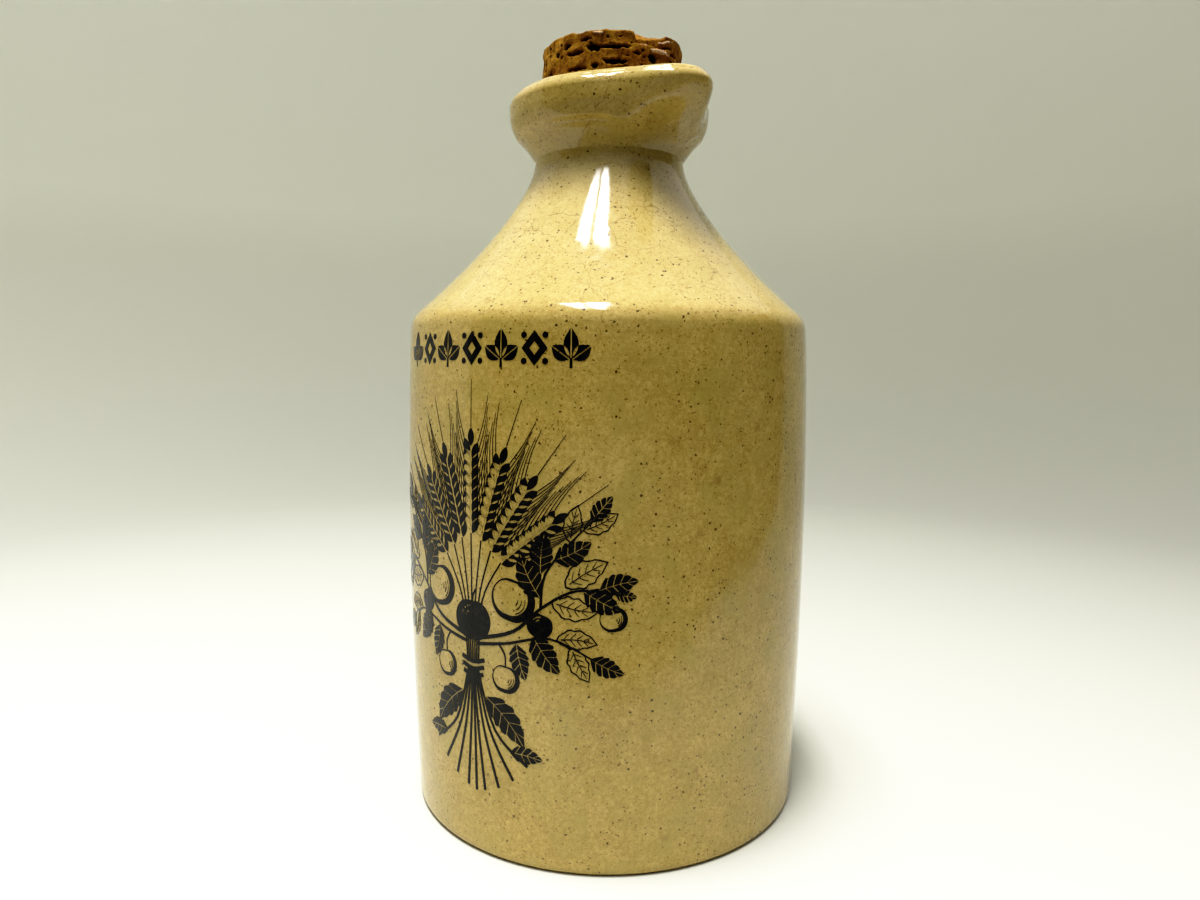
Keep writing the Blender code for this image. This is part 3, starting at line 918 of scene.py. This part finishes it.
def placeCamera():
    pitch, yaw, roll = photo["pitch"], photo["yaw"], photo["roll"]
    forward = Vector((math.sin(yaw) * math.cos(pitch), math.cos(yaw) * math.cos(pitch), -math.sin(pitch)))
    right = Vector((math.cos(yaw), -math.sin(yaw), 0.0))
    up = right.cross(forward)
    rolledRight = math.cos(roll) * right + math.sin(roll) * up
    rolledUp = math.cos(roll) * up - math.sin(roll) * right
    facing = Matrix((rolledRight, rolledUp, -forward)).transposed().to_4x4()
    spot = Matrix.Translation((0.0, -photo["distance"], photo["height"]))
    bpy.ops.object.camera_add()
    camera = bpy.context.object
    camera.matrix_world = Matrix.Rotation(photo["turn"], 4, "Z") @ spot @ facing
    camera.data.lens = photo["lens"]
    camera.data.sensor_width = 36.0
    camera.data.clip_start = 0.01
    bpy.context.scene.camera = camera


studio = {
    "height": 1.1, "stripLift": 0.09,
    "strips": ((-0.201, 0.10), (-0.064, 0.095)),    # across: centre and width, as shares of the height
    "stripEnds": ((-1.0, 0.065), (-1.0, 0.03)),    # along: front and back end, as shares of the height
    "stripPower": (2.2, 4.8), "stripSpread": math.radians(62),
    "skyDark": (0.0, 0.0, 0.0, 1.0), "skyTint": (1.0, 0.985, 0.92, 1.0),
    # broad soft lamps: where each one is, and how bright
    "softLamps": (
        ((0.0, 0.35, 0.93), 0.26),
        ((-0.55, 0.3, 0.78), 0.47),
        ((0.55, 0.3, 0.78), 0.43),
        ((0.0, -0.5, 0.85), 0.48),
    ),
    "lampEdges": (0.60, 0.98), "backAim": (0.0, 1.0, 0.3), "backEdges": (-0.3, 0.6), "backGlow": 0.30,
    "washPlace": (-0.13, 0.08, 0.60), "washSize": (0.9, 0.10), "washTilt": 82, "washPower": 0.95,
    # the second colour on the next line is the painted shadow on the floor towards the camera
    "nearPaper": (0.56, 0.562, 0.505, 1.0), "shadowPaper": (0.09, 0.09, 0.086, 1.0),
    "sweepPaper": (0.87, 0.88, 0.76, 1.0),
    # painted shadow: the paper is painted dark from each line to the next, a shadow on the floor towards the
    # camera: which way, and how far out from the jar's middle
    "shadowFades": (((0.0, -1.0, 0.0), 0.085, 0.130), ((0.68, -0.74, 0.0), 0.165, 0.215)),
    "floorRadius": 0.36, "coveRadius": 0.16, "coveHeight": 0.42, "coveSpan": math.radians(236),
}


def placeLights():
    high = studio["height"]
    strips = zip(studio["strips"], studio["stripEnds"], studio["stripPower"])
    for number, ((centre, width), (front, back), power) in enumerate(strips):
        bpy.ops.object.light_add(type="AREA")
        strip = bpy.context.object
        strip.name = f"strip{number}"
        strip.data.shape = "RECTANGLE"
        strip.data.size = width * high
        strip.data.size_y = (back - front) * high
        strip.data.energy = power
        strip.data.spread = studio["stripSpread"]
        spot = Matrix.Translation((centre * high, 0.5 * (front + back) * high, high + studio["stripLift"]))
        strip.matrix_world = Matrix.Rotation(photo["turn"], 4, "Z") @ spot
    bpy.ops.object.light_add(type="AREA")
    wash = bpy.context.object
    wash.name = "backWash"
    wash.data.shape = "RECTANGLE"
    wash.data.size, wash.data.size_y = studio["washSize"]
    wash.data.energy = studio["washPower"]
    aim = Matrix.Rotation(math.radians(studio["washTilt"]), 4, "X")
    wash.matrix_world = Matrix.Rotation(photo["turn"], 4, "Z") @ Matrix.Translation(studio["washPlace"]) @ aim
    world = bpy.data.worlds.new("studio")
    bpy.context.scene.world = world
    world.use_nodes = True
    make = nodeMaker(world)
    look = make("ShaderNodeTexCoord").outputs["Generated"]
    turned = Matrix.Rotation(photo["turn"], 3, "Z")

    def softLamp(aim, edges, strength):
        towards = turned @ Vector(aim).normalized()
        dot = make("ShaderNodeVectorMath", {0: look, 1: towards}, operation="DOT_PRODUCT")
        return make("ShaderNodeMapRange", {
            "Value": dot.outputs["Value"], "From Min": edges[0], "From Max": edges[1], "To Max": strength,
        }, interpolation_type="SMOOTHSTEP").outputs["Result"]

    glow = softLamp(studio["backAim"], studio["backEdges"], studio["backGlow"])
    for aim, strength in studio["softLamps"]:
        glow = calculate(make, "ADD", glow, softLamp(aim, studio["lampEdges"], strength))
    tinted = mixColour(make, glow, studio["skyDark"], studio["skyTint"])
    world.node_tree.links.new(tinted, world.node_tree.nodes["Background"].inputs["Color"])


def buildStage():   # a flat floor that sweeps up behind the jar, as seen from the camera
    deselectAll()
    bpy.ops.mesh.primitive_circle_add(vertices=96, radius=3.0, fill_type="NGON")
    floor = bpy.context.object
    floor.name = "paleFloor"
    radius, cove = studio["floorRadius"], studio["coveRadius"]
    sweep = arcPoints((radius, cove), cove, -90, 0, 14) + [(radius + cove, studio["coveHeight"])]
    back = extrudeProfile("paleSweep", sweep)
    bpy.ops.mesh.spin(steps=64, angle=-studio["coveSpan"], center=(0, 0, 0), axis=(0, 0, 1))
    bpy.ops.mesh.select_all(action="SELECT")
    bpy.ops.mesh.normals_make_consistent(inside=True)
    bpy.ops.object.mode_set(mode="OBJECT")
    bpy.ops.object.shade_smooth()
    middle = photo["turn"] + math.radians(90)
    back.data.transform(Matrix.Rotation(middle - studio["coveSpan"] / 2, 4, "Z"))

    paper, shader, make = newMaterial("palePaper", 0.9)
    shader.inputs["Specular IOR Level"].default_value = 0.1
    place = make("ShaderNodeTexCoord").outputs["Object"]
    # painted shadow: past the lines listed above, the paper darkens towards the camera
    share = None
    for way, near, far in studio["shadowFades"]:
        towards = Matrix.Rotation(photo["turn"], 3, "Z") @ Vector(way)
        out = make("ShaderNodeVectorMath", {0: place, 1: towards}, operation="DOT_PRODUCT").outputs["Value"]
        shadowed = make("ShaderNodeMapRange", {"Value": out, "From Min": near, "From Max": far},
                    interpolation_type="SMOOTHSTEP").outputs["Result"]
        share = calculate(make, "MAXIMUM", share, shadowed) if share else shadowed
    height = make("ShaderNodeSeparateXYZ", {0: place}).outputs["Z"]
    flat = mixColour(make, ranged(make, height, 0.0, 0.2), studio["nearPaper"], studio["sweepPaper"])
    tone = mixColour(make, share, flat, studio["shadowPaper"])
    paper.node_tree.links.new(tone, shader.inputs["Base Color"])
    for piece in (floor, back):
        piece.data.materials.append(paper)


placeCamera()
placeLights()
buildStage()

stoneJar = buildJar()
stoneJar.data.materials.append(buildGlaze())
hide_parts("bottle")
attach(stoneJar, "root")

corkStopper = buildCork()
corkStopper.data.materials.append(buildBark())
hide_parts("cork")
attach(corkStopper, "root")

printedBlack = buildInk()
printPiece("inkRow", drawRow(), printedBlack)
printPiece("inkEars", drawEars(), printedBlack)
printPiece("inkLeaves", drawLeaves(), printedBlack)
printPiece("inkFruit", drawFruit(), printedBlack)
printPiece("inkStems", drawStems(), printedBlack)

toneCurve = (
    (0.0, 0.0), (0.02, 0.009), (0.05, 0.035), (0.1, 0.088), (0.2, 0.200),
    (0.3, 0.315), (0.45, 0.495), (0.7, 0.785), (0.9, 0.955), (1.0, 1.0),
)
view = bpy.context.scene.view_settings
view.view_transform = "Standard"
view.use_curve_mapping = True
tone = view.curve_mapping.curves[3]
for dark, light in toneCurve[1:-1]:
    tone.points.new(dark, light)
view.curve_mapping.update()
